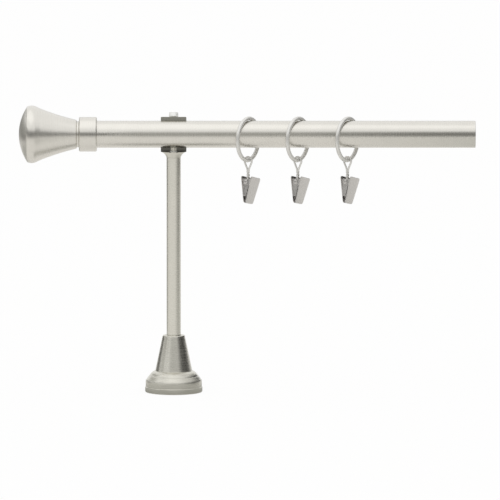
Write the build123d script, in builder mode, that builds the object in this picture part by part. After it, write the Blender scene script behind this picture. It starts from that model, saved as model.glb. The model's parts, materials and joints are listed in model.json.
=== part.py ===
from build123d import *

import os
from math import acos, asin, cos, radians, sin, sqrt

# A short curtain rod: a tube with a flared finial, one wall bracket and three clip rings.
# The origin is the centre of the wall plate's back. +Z runs out from the wall along the stem to
# the rod, +X runs along the rod away from the finial, and the rings hang towards -Z.
# All sizes are in millimetres.

# Rod
rod_diameter = 19.0
rod_wall = 1.0
rod_reach = 182.6
bracket_to_cut_end = 212.6
tube_edge = 0.25

# Shared clearances
slip = 0.05
hang_gap = 0.3
contact_gap = 0.02

# Finial
bracket_to_collar = 54.1
collar_diameter = 24.3
collar_length = 12.5
collar_end_wall = 2.0
collar_edge = 0.6
groove_width = 1.8
groove_diameter = 18.4
neck_diameter = 20.2
flare_length = 27.4
flare_mouth_diameter = 37.3
flare_hollow = 0.5
flare_wall = 1.5
flare_web = 6.0
rim_step = 0.7
rim_width = 6.9
rim_diameter = 40.6
rim_edge_diameter = 38.8
rim_wall = 1.6
dome_height = 5.6
dome_diameter = 38.0
dome_wall = 1.2
dome_skirt = 4.0
finial_stud_diameter = 6.0

# Rod holder
holder_length = 18.0
cradle_wall = 2.75
cradle_edge = 0.4
neck_height = 3.9
neck_depth = 11.0
neck_waist_share = 0.42
spine_width = 2.6
holder_screw_lean = 18.0
holder_screw_diameter = 4.0
holder_screw_head = 6.4
holder_screw_head_height = 3.4
screw_slot_width = 0.9
screw_slot_depth = 1.2
screw_edge = 0.3

# Stem and its studs
stem_diameter = 10.0
stem_stud_diameter = 5.0
stud_bite = 10.0
holder_stud_bite = 4.4

# Rosette
plate_diameter = 40.4
plate_thickness = 4.0
plate_edge = 0.5
boss_diameter = 14.0
boss_height = 7.0
plate_floor = 1.5
wall_hole_diameter = 4.5
wall_hole_spacing = 26.0
wall_hole_sink = 8.4
cover_diameter = 39.6
cover_flange = 4.9
cover_shoulder = 0.5
cover_wall = 1.5
bevel_height = 2.4
bevel_inner_diameter = 35.2
bead_diameter = 34.6
bead_height = 3.7
bead_bulge = 0.55
bead_ledge = 0.4
cone_base_diameter = 26.0
cone_top_diameter = 15.8
cone_height = 24.4
cone_lip = 1.0
cover_guide = 6.0

# Grub screws
grub_diameter = 3.0
grub_recess = 0.3
grub_key = 1.5
grub_key_depth = 1.0

# Rings
first_ring_x = 52.5
ring_pitch = 35.0
ring_count = 3
ring_yaw = 30.0
ring_inner_diameter = 26.8
ring_wire = 2.8

# Eye links
link_wire = 1.35
link_loop_inner = 4.5
link_fork_drop = 7.3
link_shank_diameter = 2.2
link_eye_play = 0.25
link_length = 15.6

# Clips
clip_tilt = 12.0
clip_offset = 3.0
clip_sheet = 0.6
lever_height = 4.0
jaw_height = 14.7
clip_top_width = 14.0
clip_bottom_width = 10.0
clip_corner = 1.6
clip_top_spread = 8.5
clip_bottom_spread = 2.4
jaw_gap = 0.2
tooth_width = 1.0
tooth_depth = 0.4
tooth_count = 4
pin_diameter = 1.8
pin_head_diameter = 2.8
pin_head_height = 0.4
ear_radius = 2.2
ear_gap = 0.4
ear_margin = 0.1
head_gap = 0.1
cheek_drop = 10.0
cheek_tip = 0.8
spring_wire = 0.6
spring_turns = 7
spring_groove = 0.2
spring_leg_height = 3.1
spring_leg_inset = 0.4

# Radii and places that follow from the sizes above
rod_radius = rod_diameter / 2
stem_radius = stem_diameter / 2
cradle_bore = rod_radius + slip
cradle_radius = cradle_bore + cradle_wall
neck_top = rod_reach - cradle_radius
stem_top = neck_top - neck_height
stem_foot = plate_thickness + boss_height
grub_radius = grub_diameter / 2
collar_right = -bracket_to_collar
collar_left = collar_right - collar_length
tube_start = collar_left + collar_end_wall
neck_x = collar_left - groove_width
mouth_x = neck_x - flare_length
rim_right = mouth_x - rim_step
rim_left = rim_right - rim_width

rod_axis = Axis((0, 0, rod_reach), (1, 0, 0))
rod_profile = Plane(origin=(0, 0, rod_reach), x_dir=(1, 0, 0), z_dir=(0, -1, 0))
stem_profile = Plane.XZ

os.makedirs("parts", exist_ok=True)


def cap_arc(edge_x, edge_radius, height):
    """An arc from a cap's edge to its top on the axis, bulging towards -X."""
    ball = (edge_radius**2 + height**2) / (2 * height)
    half = asin(edge_radius / ball) / 2
    centre = edge_x - height + ball
    middle = (centre - ball * cos(half), ball * sin(half))
    return ThreePointArc((edge_x, edge_radius), middle, (edge_x - height, 0))


# Rod tube, open at its cut end
with BuildPart() as rod_tube:
    with BuildSketch(Plane.YZ.offset(tube_start).shift_origin((tube_start, 0, rod_reach))):
        Circle(rod_radius)
    extrude(amount=bracket_to_cut_end - tube_start)
    chamfer(rod_tube.edges().filter_by(GeomType.CIRCLE), tube_edge)
    with BuildSketch(Plane.YZ.offset(tube_start).shift_origin((tube_start, 0, rod_reach))):
        Circle(rod_radius - rod_wall)
    extrude(amount=bracket_to_cut_end - tube_start, mode=Mode.SUBTRACT)

rod_tube.part.label = "rod_tube"
export_step(rod_tube.part, "parts/rod_tube.step")

# Finial collar, a cup that slips over the end of the tube
collar_radius = collar_diameter / 2
finial_stud_radius = finial_stud_diameter / 2
finial_grub_x = (collar_right + tube_start) / 2
finial_grub_plane = Plane(origin=(finial_grub_x, 0, rod_reach), x_dir=(1, 0, 0), z_dir=(0, 1, 0))

with BuildPart() as finial_collar:
    with BuildSketch(rod_profile):
        with BuildLine():
            Polyline(
                (collar_left, finial_stud_radius + slip),
                (collar_left, collar_radius - collar_edge),
                (collar_left + collar_edge, collar_radius),
                (collar_right - collar_edge, collar_radius),
                (collar_right, collar_radius - collar_edge),
                (collar_right, rod_radius + slip),
                (tube_start, rod_radius + slip),
                (tube_start, finial_stud_radius + slip),
                close=True,
            )
        make_face()
    revolve(axis=rod_axis)
    with BuildSketch(finial_grub_plane):
        Circle(grub_radius + slip)
    extrude(amount=collar_diameter, mode=Mode.SUBTRACT)

finial_collar.part.label = "finial_collar"
export_step(finial_collar.part, "parts/finial_collar.step")

# Finial flare, a spun trumpet with a solid neck and a rolled rim
neck_radius = neck_diameter / 2
mouth_radius = flare_mouth_diameter / 2
rim_edge_radius = rim_edge_diameter / 2
dome_seat_radius = rim_edge_radius - rim_wall
web_x = neck_x - flare_web
flare_middle = ((neck_x + mouth_x) / 2, (neck_radius + mouth_radius) / 2 - flare_hollow)

with BuildPart() as finial_cone:
    with BuildSketch(rod_profile):
        with BuildLine():
            Polyline(
                (web_x, finial_stud_radius + slip),
                (collar_left, finial_stud_radius + slip),
                (collar_left, groove_diameter / 2),
                (neck_x, groove_diameter / 2),
                (neck_x, neck_radius),
            )
            ThreePointArc((neck_x, neck_radius), flare_middle, (mouth_x, mouth_radius))
            Line((mouth_x, mouth_radius), (rim_right, rim_edge_radius))
            ThreePointArc(
                (rim_right, rim_edge_radius),
                ((rim_right + rim_left) / 2, rim_diameter / 2),
                (rim_left, rim_edge_radius),
            )
            Polyline(
                (rim_left, rim_edge_radius),
                (rim_left, dome_seat_radius),
                (rim_right, dome_seat_radius),
                (mouth_x, mouth_radius - flare_wall),
                (web_x, neck_radius - flare_wall / 2),
                (web_x, finial_stud_radius + slip),
            )
        make_face()
    revolve(axis=rod_axis)

finial_cone.part.label = "finial_cone"
export_step(finial_cone.part, "parts/finial_cone.step")

# Finial dome, a pressed cap whose skirt sits inside the rim
dome_radius = dome_diameter / 2
skirt_radius = dome_seat_radius - slip
skirt_inner = skirt_radius - dome_wall

with BuildPart() as finial_dome:
    with BuildSketch(rod_profile):
        with BuildLine():
            cap_arc(rim_left, dome_radius, dome_height)
            Line((rim_left - dome_height, 0), (rim_left - dome_height + dome_wall, 0))
            cap_arc(rim_left, skirt_inner, dome_height - dome_wall)
            Polyline(
                (rim_left, skirt_inner),
                (rim_left + dome_skirt, skirt_inner),
                (rim_left + dome_skirt, skirt_radius),
                (rim_left, skirt_radius),
                (rim_left, dome_radius),
            )
        make_face()
    revolve(axis=rod_axis)

finial_dome.part.label = "finial_dome"
export_step(finial_dome.part, "parts/finial_dome.step")

# Finial stud, which screws the flare to the collar
with BuildPart() as finial_stud:
    with BuildSketch(Plane(origin=(web_x, 0, rod_reach), x_dir=(0, 1, 0), z_dir=(1, 0, 0))):
        Circle(finial_stud_radius)
    extrude(amount=tube_start - web_x)
    chamfer(finial_stud.edges().filter_by(GeomType.CIRCLE), screw_edge)

finial_stud.part.label = "finial_stud"
export_step(finial_stud.part, "parts/finial_stud.step")

# Finial set screw, on the collar's back, pressing on the tube
with BuildPart() as finial_set_screw:
    with BuildSketch(finial_grub_plane.offset(rod_radius + contact_gap)):
        Circle(grub_radius)
    extrude(amount=collar_radius - grub_recess - rod_radius - contact_gap)
    with BuildSketch(finial_grub_plane.offset(collar_radius - grub_recess)):
        RegularPolygon(grub_key / 2, 6, major_radius=False)
    extrude(amount=-grub_key_depth, mode=Mode.SUBTRACT)

finial_set_screw.part.label = "finial_set_screw"
export_step(finial_set_screw.part, "parts/finial_set_screw.step")

# Rod holder: a half-round cradle behind the rod on a neck that spreads from the stem
holder_end = Plane(origin=(-holder_length / 2, 0, rod_reach), x_dir=(0, 1, 0), z_dir=(1, 0, 0))
holder_screw_plane = Plane(
    origin=(0, 0, rod_reach),
    x_dir=(1, 0, 0),
    z_dir=(0, sin(radians(holder_screw_lean)), cos(radians(holder_screw_lean))),
)
holder_screw_radius = holder_screw_diameter / 2
stem_stud_radius = stem_stud_diameter / 2
waist_height = neck_height * neck_waist_share
waist_half_length = stem_radius + (holder_length / 2 - stem_radius) * (1 - neck_waist_share) ** 2
waist_half_depth = stem_radius + (neck_depth / 2 - stem_radius) * (1 - neck_waist_share)
neck_overlap = cradle_radius - cradle_bore / 2

with BuildPart() as rod_holder:
    with BuildSketch(holder_end):
        Circle(cradle_radius)
        Rectangle(
            cradle_radius, 2 * cradle_radius, align=(Align.MAX, Align.CENTER), mode=Mode.SUBTRACT
        )
    extrude(amount=holder_length)
    chamfer(rod_holder.edges().filter_by(GeomType.CIRCLE), cradle_edge)
    with BuildSketch(Plane.XY.offset(neck_top)):
        Ellipse(holder_length / 2, neck_depth / 2)
    with BuildSketch(Plane.XY.offset(neck_top - waist_height)):
        Ellipse(waist_half_length, waist_half_depth)
    with BuildSketch(Plane.XY.offset(stem_top)):
        Circle(stem_radius)
    loft()
    with BuildSketch(Plane.XY.offset(neck_top)):
        Ellipse(holder_length / 2, neck_depth / 2)
        Rectangle(
            holder_length, neck_depth, align=(Align.CENTER, Align.MAX), mode=Mode.SUBTRACT
        )
        Circle(spine_width / 2)
    extrude(amount=neck_overlap)
    with BuildSketch(holder_end):
        Circle(cradle_bore)
    extrude(amount=holder_length, mode=Mode.SUBTRACT)
    with BuildSketch(Plane.XY.offset(stem_top)):
        Circle(stem_stud_radius + slip)
    extrude(amount=holder_stud_bite + slip, mode=Mode.SUBTRACT)
    with BuildSketch(holder_screw_plane):
        Circle(holder_screw_radius + slip)
    extrude(amount=cradle_radius + screw_edge, mode=Mode.SUBTRACT)

rod_holder.part.label = "rod_holder"
export_step(rod_holder.part, "parts/rod_holder.step")

# Holder set screw, a slotted cheese head that locks the rod in the cradle
screw_tip = rod_radius + contact_gap
screw_top = cradle_radius + holder_screw_head_height

with BuildPart() as holder_set_screw:
    with BuildSketch(holder_screw_plane.offset(screw_tip)):
        Circle(holder_screw_radius)
    extrude(amount=cradle_radius - screw_tip)
    with BuildSketch(holder_screw_plane.offset(cradle_radius)):
        Circle(holder_screw_head / 2)
    extrude(amount=holder_screw_head_height)
    chamfer(holder_set_screw.edges().filter_by(GeomType.CIRCLE).group_by(SortBy.RADIUS)[-1], screw_edge)
    with BuildSketch(holder_screw_plane.offset(screw_top)):
        Rectangle(2 * holder_screw_head, screw_slot_width)
    extrude(amount=-screw_slot_depth, mode=Mode.SUBTRACT)

holder_set_screw.part.label = "holder_set_screw"
export_step(holder_set_screw.part, "parts/holder_set_screw.step")

# Stem, a round bar with a blind hole in each end
with BuildPart() as stem:
    with BuildSketch(Plane.XY.offset(stem_foot)):
        Circle(stem_radius)
    extrude(amount=stem_top - stem_foot)
    with BuildSketch(Plane.XY.offset(stem_foot)):
        Circle(stem_stud_radius + slip)
    extrude(amount=stud_bite + slip, mode=Mode.SUBTRACT)
    with BuildSketch(Plane.XY.offset(stem_top)):
        Circle(stem_stud_radius + slip)
    extrude(amount=-(stud_bite + slip), mode=Mode.SUBTRACT)

stem.part.label = "stem"
export_step(stem.part, "parts/stem.step")

# Holder stud, which screws the stem into the holder's neck
with BuildPart() as holder_stud:
    with BuildSketch(Plane.XY.offset(stem_top - stud_bite)):
        Circle(stem_stud_radius)
    extrude(amount=stud_bite + holder_stud_bite)
    chamfer(holder_stud.edges().filter_by(GeomType.CIRCLE), screw_edge)

holder_stud.part.label = "holder_stud"
export_step(holder_stud.part, "parts/holder_stud.step")

# Plate stud, which screws the stem into the wall plate's boss
with BuildPart() as plate_stud:
    with BuildSketch(Plane.XY.offset(plate_floor)):
        Circle(stem_stud_radius)
    extrude(amount=stem_foot - plate_floor + stud_bite)
    chamfer(plate_stud.edges().filter_by(GeomType.CIRCLE), screw_edge)

plate_stud.part.label = "plate_stud"
export_step(plate_stud.part, "parts/plate_stud.step")

# Wall plate: a round base with a boss for the stem and two countersunk holes
with BuildPart() as wall_plate:
    with BuildSketch(Plane.XY):
        Circle(plate_diameter / 2)
    extrude(amount=plate_thickness)
    chamfer(wall_plate.edges().filter_by(GeomType.CIRCLE), plate_edge)
    with BuildSketch(Plane.XY.offset(plate_thickness)):
        Circle(boss_diameter / 2)
    extrude(amount=boss_height)
    with BuildSketch(Plane.XY.offset(stem_foot)):
        Circle(stem_stud_radius + slip)
    extrude(amount=plate_floor - stem_foot, mode=Mode.SUBTRACT)
    with Locations(Plane.XY.offset(plate_thickness)):
        with GridLocations(wall_hole_spacing, 0, 2, 1):
            CounterSinkHole(wall_hole_diameter / 2, wall_hole_sink / 2)

wall_plate.part.label = "wall_plate"
export_step(wall_plate.part, "parts/wall_plate.step")

# Rosette cover: a turned cone on a stepped flange, hollow over the plate and bored for the stem
cover_radius = cover_diameter / 2
flange_top = plate_thickness + cover_flange
bevel_top = flange_top + bevel_height
bead_top = bevel_top + bead_height
cone_top = bead_top + cone_height
cover_top = cone_top + cone_lip
guide_floor = cover_top - cover_guide
bevel_inner = bevel_inner_diameter / 2
cone_base = cone_base_diameter / 2
cone_tip = cone_top_diameter / 2
bead_foot = bead_diameter / 2
bead_crown = cone_base + bead_ledge
bead_chord = sqrt((bead_foot - bead_crown) ** 2 + bead_height**2)
bead_middle = (
    (bead_foot + bead_crown) / 2 + bead_bulge * bead_height / bead_chord,
    bevel_top + bead_height / 2 + bead_bulge * (bead_foot - bead_crown) / bead_chord,
)
stem_hole = stem_radius + slip
cone_slope = (cone_base - cone_tip) / cone_height
guide_radius = cone_tip + cone_slope * (cone_top - guide_floor) - cover_wall
cover_grub_plane = Plane(
    origin=(0, 0, cover_top - cover_guide / 2), x_dir=(1, 0, 0), z_dir=(0, 1, 0)
)

with BuildPart() as rosette_cover:
    with BuildSketch(stem_profile):
        with BuildLine():
            Polyline(
                (cover_radius - cover_wall, plate_thickness),
                (cover_radius, plate_thickness),
                (cover_radius, flange_top - cover_shoulder),
                (cover_radius - cover_shoulder, flange_top),
                (bevel_inner, bevel_top),
                (bead_foot, bevel_top),
            )
            ThreePointArc((bead_foot, bevel_top), bead_middle, (bead_crown, bead_top))
            Polyline((bead_crown, bead_top), (cone_base, bead_top), (cone_tip, cone_top))
            ThreePointArc(
                (cone_tip, cone_top),
                (cone_tip - cone_lip * (1 - sqrt(0.5)), cone_top + cone_lip * sqrt(0.5)),
                (cone_tip - cone_lip, cover_top),
            )
            Polyline(
                (cone_tip - cone_lip, cover_top),
                (stem_hole, cover_top),
                (stem_hole, guide_floor),
                (guide_radius, guide_floor),
                (cone_base - cover_wall, bead_top),
                (cone_base - cover_wall, bevel_top - cover_wall),
                (cover_radius - cover_wall, flange_top - cover_wall),
                (cover_radius - cover_wall, plate_thickness),
            )
        make_face()
    revolve(axis=Axis.Z)
    with BuildSketch(cover_grub_plane):
        Circle(grub_radius + slip)
    extrude(amount=cover_radius, mode=Mode.SUBTRACT)

rosette_cover.part.label = "rosette_cover"
export_step(rosette_cover.part, "parts/rosette_cover.step")

# Cover set screw, on the cover's back, pressing on the stem
cover_grub_end = cone_tip + cone_slope * (cone_top - cover_grub_plane.origin.Z) - grub_recess

with BuildPart() as cover_set_screw:
    with BuildSketch(cover_grub_plane.offset(stem_radius + contact_gap)):
        Circle(grub_radius)
    extrude(amount=cover_grub_end - stem_radius - contact_gap)
    with BuildSketch(cover_grub_plane.offset(cover_grub_end)):
        RegularPolygon(grub_key / 2, 6, major_radius=False)
    extrude(amount=-grub_key_depth, mode=Mode.SUBTRACT)

cover_set_screw.part.label = "cover_set_screw"
export_step(cover_set_screw.part, "parts/cover_set_screw.step")

# Directions shared by the three rings, which hang turned on the rod
up = Vector(0, 0, 1)
across = Vector(sin(radians(ring_yaw)), cos(radians(ring_yaw)), 0)
facing = Vector(cos(radians(ring_yaw)), -sin(radians(ring_yaw)), 0)
pin_way = across * cos(radians(clip_tilt)) - up * sin(radians(clip_tilt))

# Ring and link sizes that follow from the wires
ring_radius = (ring_inner_diameter + ring_wire) / 2
ring_drop = ring_inner_diameter / 2 - rod_radius - hang_gap
link_radius = link_wire / 2
loop_radius = link_loop_inner / 2 + link_radius
loop_drop = link_loop_inner / 2 - ring_wire / 2 - hang_gap
fork_angle = acos(loop_radius / (link_fork_drop - loop_drop))
fork_side = loop_radius * sin(fork_angle)
fork_height = -loop_drop - loop_radius * cos(fork_angle)
pin_radius = pin_diameter / 2
link_eye_radius = pin_radius + link_eye_play + link_radius
link_eye_top = link_eye_radius - link_length

# Clip profile, seen along the pin: each leaf slopes from its lever to its jaw
clip_height = lever_height + jaw_height
leaf_slope = (clip_top_spread - clip_bottom_spread) / 2 / clip_height
sheet_run = clip_sheet * sqrt(1 + leaf_slope**2)
leaf_at_pin = clip_top_spread / 2 - leaf_slope * lever_height
half_width_at_pin = (
    clip_top_width - (clip_top_width - clip_bottom_width) * lever_height / clip_height
) / 2
front_ear_end = half_width_at_pin - ear_margin
rear_ear_end = front_ear_end - clip_sheet - ear_gap
pin_head_start = front_ear_end + head_gap
spring_radius = pin_radius + hang_gap + spring_wire / 2
spring_crest = spring_radius + spring_wire / 2
spring_valley = spring_crest - spring_groove
spring_length = spring_turns * spring_wire
spring_start = clip_offset - link_eye_radius - spring_length
tooth_pitch = 2 * tooth_width
tooth_height = 2 * (clip_sheet + slip)


def leaf_outline(side):
    """The leaf's section across the pin, on the side +1 (front) or -1 (rear)."""
    lip_top = clip_sheet - jaw_height
    lip_inner = leaf_at_pin + leaf_slope * lip_top - sheet_run
    lever_inner = clip_top_spread / 2 - sheet_run
    corners = [
        (clip_top_spread / 2, lever_height),
        (clip_bottom_spread / 2, -jaw_height),
        (jaw_gap / 2, -jaw_height),
        (jaw_gap / 2, lip_top),
        (lip_inner, lip_top),
        (lever_inner, lever_height),
    ]
    return [(side * x, y) for x, y in corners]


def ear_outline(side):
    """The ear's web from the pin to the middle of its leaf."""
    middle = leaf_at_pin - sheet_run / 2
    corners = [
        (0, ear_radius),
        (middle + leaf_slope * ear_radius, ear_radius),
        (middle - leaf_slope * ear_radius, -ear_radius),
        (0, -ear_radius),
    ]
    return [(side * x, y) for x, y in corners]


def cheek_outline():
    """The rear leaf's cheek, which closes the clip's side below the pin."""
    middle = leaf_at_pin - sheet_run / 2
    return [
        (ear_radius, 0),
        (cheek_tip, -cheek_drop),
        (leaf_slope * cheek_drop - middle, -cheek_drop),
        (-middle, 0),
    ]


for number in range(1, ring_count + 1):
    ring_centre = Vector(
        first_ring_x + ring_pitch * (number - 1), 0, rod_reach - ring_drop
    )
    link_pivot = ring_centre - up * ring_radius
    pin_centre = link_pivot - up * link_length + pin_way * clip_offset
    link_plane = Plane(origin=link_pivot, x_dir=facing, z_dir=-across)
    clip_plane = Plane(origin=pin_centre, x_dir=facing, z_dir=-pin_way)
    leaf_plane = Plane(origin=pin_centre, x_dir=pin_way, z_dir=facing)
    spring_plane = Plane(origin=pin_centre, x_dir=-pin_way, z_dir=facing)

    # Curtain ring, one closed ring of round wire
    with BuildPart(Plane(origin=ring_centre, z_dir=facing)) as curtain_ring:
        Torus(ring_radius, ring_wire / 2)

    curtain_ring.part.label = f"curtain_ring_{number}"
    export_step(curtain_ring.part, f"parts/curtain_ring_{number}.step")

    # Eye link: a drop-shaped loop round the ring, a twisted shank and an eye round the pin
    with BuildPart(link_plane) as clip_eye:
        with BuildLine(link_plane) as loop_path:
            Line((0, -link_fork_drop), (fork_side, fork_height))
            ThreePointArc(
                (fork_side, fork_height), (0, loop_radius - loop_drop), (-fork_side, fork_height)
            )
        with BuildSketch(Plane(origin=loop_path.line @ 0, z_dir=loop_path.line % 0)):
            Circle(link_radius)
        sweep(path=loop_path.line)
        with BuildLine(link_plane) as left_leg:
            Line((0, -link_fork_drop), (-fork_side, fork_height))
        with BuildSketch(Plane(origin=left_leg.line @ 0, z_dir=left_leg.line % 0)):
            Circle(link_radius)
        sweep(path=left_leg.line)
        with BuildSketch(Plane(origin=link_plane.from_local_coords((0, link_eye_top, 0)))):
            Circle(link_shank_diameter / 2)
        extrude(amount=-link_eye_top - link_fork_drop)
        with Locations((0, -link_fork_drop, 0)):
            Sphere(link_shank_diameter / 2)
        with Locations((0, -link_length, 0)):
            Torus(link_eye_radius, link_radius)
        with BuildSketch(clip_plane):
            Circle(pin_radius + hang_gap / 2)
        extrude(amount=clip_top_width, both=True, mode=Mode.SUBTRACT)

    clip_eye.part.label = f"clip_eye_{number}"
    export_step(clip_eye.part, f"parts/clip_eye_{number}.step")

    # Front and rear leaves, mirror forms apart from their ears, teeth and the rear leaf's cheeks
    for name, side, ear_end in (("front", 1, front_ear_end), ("rear", -1, rear_ear_end)):
        teeth = tooth_count if side > 0 else tooth_count + 1
        with BuildPart() as clip_leaf:
            with BuildSketch(clip_plane):
                with BuildLine():
                    Polyline(*leaf_outline(side), close=True)
                make_face()
            extrude(amount=clip_top_width / 2, both=True)
            with BuildSketch(leaf_plane) as leaf_face:
                with BuildLine():
                    Polyline(
                        (-clip_top_width / 2, lever_height),
                        (clip_top_width / 2, lever_height),
                        (clip_bottom_width / 2, -jaw_height),
                        (-clip_bottom_width / 2, -jaw_height),
                        close=True,
                    )
                make_face()
                fillet(leaf_face.vertices(), clip_corner)
            extrude(amount=clip_top_spread, both=True, mode=Mode.INTERSECT)
            for end in (ear_end - clip_sheet, -ear_end):
                with BuildSketch(clip_plane.offset(end)):
                    Circle(ear_radius)
                    with BuildLine():
                        Polyline(*ear_outline(side), close=True)
                    make_face()
                    if side < 0:
                        with BuildLine():
                            Polyline(*cheek_outline(), close=True)
                        make_face()
                extrude(amount=clip_sheet)
            with BuildSketch(clip_plane):
                Circle(pin_radius + slip)
            extrude(amount=clip_top_width, both=True, mode=Mode.SUBTRACT)
            with BuildSketch(leaf_plane):
                with Locations((0, -jaw_height)):
                    with GridLocations(tooth_pitch, 0, teeth, 1):
                        Rectangle(tooth_width, tooth_height)
            extrude(amount=side * (jaw_gap / 2 + tooth_depth), mode=Mode.SUBTRACT)

        clip_leaf.part.label = f"clip_{name}_leaf_{number}"
        export_step(clip_leaf.part, f"parts/clip_{name}_leaf_{number}.step")

    # Clip pin, headed at both ends outside the front leaf's ears
    with BuildPart() as clip_pin:
        with BuildSketch(clip_plane):
            Circle(pin_radius)
        extrude(amount=pin_head_start + pin_head_height, both=True)
        for end in (pin_head_start, -pin_head_start - pin_head_height):
            with BuildSketch(clip_plane.offset(end)):
                Circle(pin_head_diameter / 2)
            extrude(amount=pin_head_height)

    clip_pin.part.label = f"clip_pin_{number}"
    export_step(clip_pin.part, f"parts/clip_pin_{number}.step")

    # Clip spring: a close coil round the pin with a leg up each leaf
    with BuildPart() as clip_spring:
        with BuildSketch(spring_plane):
            with BuildLine():
                for turn in range(spring_turns):
                    start = spring_start + turn * spring_wire
                    ThreePointArc(
                        (start, spring_valley),
                        (start + spring_wire / 2, spring_crest),
                        (start + spring_wire, spring_valley),
                    )
                Polyline(
                    (spring_start + spring_length, spring_valley),
                    (spring_start + spring_length, spring_radius - spring_wire / 2),
                    (spring_start, spring_radius - spring_wire / 2),
                    (spring_start, spring_valley),
                )
            make_face()
        revolve(axis=Axis(pin_centre, pin_way))
        for side, place in (
            (1, spring_start + spring_leg_inset),
            (-1, spring_start + spring_length - spring_leg_inset),
        ):
            reach = (
                leaf_at_pin + leaf_slope * spring_leg_height - sheet_run - spring_wire / 2 - slip
            )
            root = clip_plane.from_local_coords((side * spring_radius, 0, place))
            tip = clip_plane.from_local_coords((side * reach, spring_leg_height, place))
            with BuildSketch(Plane(origin=root, z_dir=tip - root)):
                Circle(spring_wire / 2)
            extrude(amount=(tip - root).length)

    clip_spring.part.label = f"clip_spring_{number}"
    export_step(clip_spring.part, f"parts/clip_spring_{number}.step")
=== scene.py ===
"""Looks for a curtain rod: tube, flared finial, wall bracket and three clip rings.

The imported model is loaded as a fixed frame. Each operator below dresses one piece or one group
of like pieces with a surface worked out in numpy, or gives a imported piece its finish.
"""

import json
from math import cos, radians, sin

import bpy
import numpy as np
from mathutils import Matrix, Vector
from bpy.props import FloatProperty, FloatVectorProperty, IntProperty, PointerProperty


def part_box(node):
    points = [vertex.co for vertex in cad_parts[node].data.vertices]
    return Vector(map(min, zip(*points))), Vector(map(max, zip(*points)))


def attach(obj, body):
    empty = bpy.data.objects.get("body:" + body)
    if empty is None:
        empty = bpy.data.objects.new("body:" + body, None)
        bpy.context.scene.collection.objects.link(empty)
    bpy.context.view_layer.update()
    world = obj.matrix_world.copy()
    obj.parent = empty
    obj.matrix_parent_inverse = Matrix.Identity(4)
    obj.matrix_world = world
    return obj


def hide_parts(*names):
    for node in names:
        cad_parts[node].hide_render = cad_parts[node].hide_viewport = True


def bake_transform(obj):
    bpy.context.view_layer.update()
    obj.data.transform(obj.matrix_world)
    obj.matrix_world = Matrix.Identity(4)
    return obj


bl_info = {
    "name": "Curtain rod dresser",
    "version": (1, 0, 0),
    "blender": (4, 5, 0),
    "location": "View3D > Sidebar > Curtain rod",
    "description": "Builds the visible surfaces, finishes and studio of a clip-ring curtain rod",
    "category": "Object",
}

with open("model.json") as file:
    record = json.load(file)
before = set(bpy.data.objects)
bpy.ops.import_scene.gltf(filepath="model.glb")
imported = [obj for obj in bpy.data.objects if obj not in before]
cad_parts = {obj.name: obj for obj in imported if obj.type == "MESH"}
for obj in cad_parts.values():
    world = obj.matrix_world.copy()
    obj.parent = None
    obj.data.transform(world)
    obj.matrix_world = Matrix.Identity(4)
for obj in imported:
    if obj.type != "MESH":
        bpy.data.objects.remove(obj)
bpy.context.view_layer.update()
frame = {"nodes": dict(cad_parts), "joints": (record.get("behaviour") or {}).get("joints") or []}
ring_numbers = (1, 2, 3)
fixed_body = "bracket_and_rod"

# X runs along the rod, Y away from the camera and Z up the stem
x_axis, y_axis, z_axis = np.eye(3)

# Where a turned profile stops short of its axis, so that the closing fan has a rim
near_axis = 0.0002


# Property helpers

def size(name, description, millimetres):
    """A length, written in millimetres and kept in metres."""
    return FloatProperty(
        name=name, description=description, default=millimetres * 0.001, unit="LENGTH", precision=5
    )


def share(name, description, value):
    """A plain number from 0 to 1."""
    return FloatProperty(
        name=name, description=description, default=value, min=0.0, max=1.0, subtype="FACTOR"
    )


def level(name, description, value):
    """A strength or a scale with no unit."""
    return FloatProperty(name=name, description=description, default=value)


def tint(name, description, colour):
    """A colour in linear light."""
    return FloatVectorProperty(
        name=name, description=description, default=colour, size=3, min=0.0, max=1.0,
        subtype="COLOR",
    )


def turn(name, description, degrees):
    """An angle, written in degrees and kept in radians."""
    return FloatProperty(
        name=name, description=description, default=radians(degrees), subtype="ANGLE"
    )


# Sizes and colours that a user would change

class RodSizes(bpy.types.PropertyGroup):
    """The tube and the stem."""

    wall: size("Tube wall", "Thickness of the tube's wall", 1.0)
    edge: size("Edge break", "Rounding of the tube's cut edges", 0.3)
    stem_bore: size("Stem bore", "Diameter of the blind hole in each end of the stem", 5.1)
    stem_bore_depth: size("Stem bore depth", "Depth of those holes", 10.05)
    stem_edge: size("Stem edge", "Rounding of the stem's ends", 0.2)


class FinialSizes(bpy.types.PropertyGroup):
    """The flared end piece and its cap."""

    stud_bore: size("Stud bore", "Diameter of the hole for the stud", 6.1)
    groove: size("Groove diameter", "Diameter at the bottom of the groove by the collar", 18.4)
    groove_width: size("Groove width", "Length of that groove along the rod", 1.8)
    neck: size("Neck diameter", "Diameter where the flare starts", 20.2)
    web: size("Neck web", "Solid length behind the groove", 6.0)
    mouth: size("Mouth diameter", "Diameter where the flare ends", 36.5)
    flare_hollow: size("Flare hollow", "Sag of the flare below a straight cone", 0.5)
    flare_wall: size("Flare wall", "Wall of the flare", 1.5)
    rim_step: size("Rim step", "Length of the slope up to the rim", 2.4)
    rim_width: size("Rim width", "Length of the rolled rim along the rod", 6.9)
    rim_edge: size("Rim edge diameter", "Diameter at both edges of the rim", 38.8)
    rim_wall: size("Rim wall", "Wall of the rim around the cap", 1.6)
    cap: size("Cap diameter", "Diameter of the domed cap at the rim", 38.0)
    cap_wall: size("Cap wall", "Sheet thickness of the cap", 1.2)
    cap_skirt: size("Cap skirt", "Length of the cap's skirt inside the rim", 4.0)
    edge: size("Edge break", "Rounding of turned edges", 0.45)


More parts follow.
